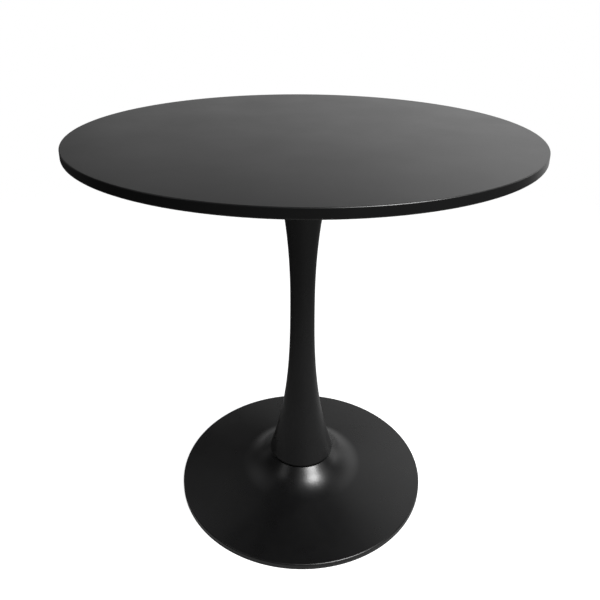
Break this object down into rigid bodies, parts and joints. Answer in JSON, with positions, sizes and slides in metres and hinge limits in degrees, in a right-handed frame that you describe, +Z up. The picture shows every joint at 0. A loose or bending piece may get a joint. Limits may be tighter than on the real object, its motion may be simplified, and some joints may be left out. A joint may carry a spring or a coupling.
{
  "type": "round pedestal table",
  "caption": "Round black table: a flat board on an hourglass steel column with a weighted trumpet-shaped round base, held by a hidden tie rod.",
  "frame": {"origin": "on the floor at the middle of the base, below the centre of the board", "axes": "+Z up along the column's axis; X and Y are equal directions across the round top"},
  "size_m": [0.8, 0.8, 0.74],
  "materials": {
    "board_paint": "satin black paint on fibreboard",
    "powder_coat": "satin black powder coat, fine orange peel",
    "rubber": "matt black rubber",
    "plated_steel": "zinc plated",
    "black_oxide": "black oxide",
    "plain_steel": "plain machined steel",
    "ballast_iron": "dark primer"
  },
  "bodies": {
    "root": {"tabletop": "board_paint", "column": "powder_coat", "base_shell": "powder_coat", "mounting_plate": "powder_coat", "column_locator_ring": "powder_coat", "column_gasket": "rubber", "floor_ring": "rubber", "tie_rod": "plated_steel", "plate_weld_nut": "plated_steel", "clamp_nut": "plated_steel", "clamp_washer": "plated_steel", "lock_washer": "plated_steel", "crown_plate": "plain_steel", "ballast_ring": "ballast_iron", "threaded_insert_1": "plated_steel", "threaded_insert_2": "plated_steel", "threaded_insert_3": "plated_steel", "threaded_insert_4": "plated_steel", "threaded_insert_5": "plated_steel", "threaded_insert_6": "plated_steel", "plate_screw_1": "black_oxide", "plate_screw_2": "black_oxide", "plate_screw_3": "black_oxide", "plate_screw_4": "black_oxide", "plate_screw_5": "black_oxide", "plate_screw_6": "black_oxide", "plate_washer_1": "black_oxide", "plate_washer_2": "black_oxide", "plate_washer_3": "black_oxide", "plate_washer_4": "black_oxide", "plate_washer_5": "black_oxide", "plate_washer_6": "black_oxide", "ballast_screw_1": "black_oxide", "ballast_screw_2": "black_oxide", "ballast_screw_3": "black_oxide", "ballast_screw_4": "black_oxide", "ballast_washer_1": "black_oxide", "ballast_washer_2": "black_oxide", "ballast_washer_3": "black_oxide", "ballast_washer_4": "black_oxide", "ballast_standoff_1": "plain_steel", "ballast_standoff_2": "plain_steel", "ballast_standoff_3": "plain_steel", "ballast_standoff_4": "plain_steel"}
  },
  "joints": []
}
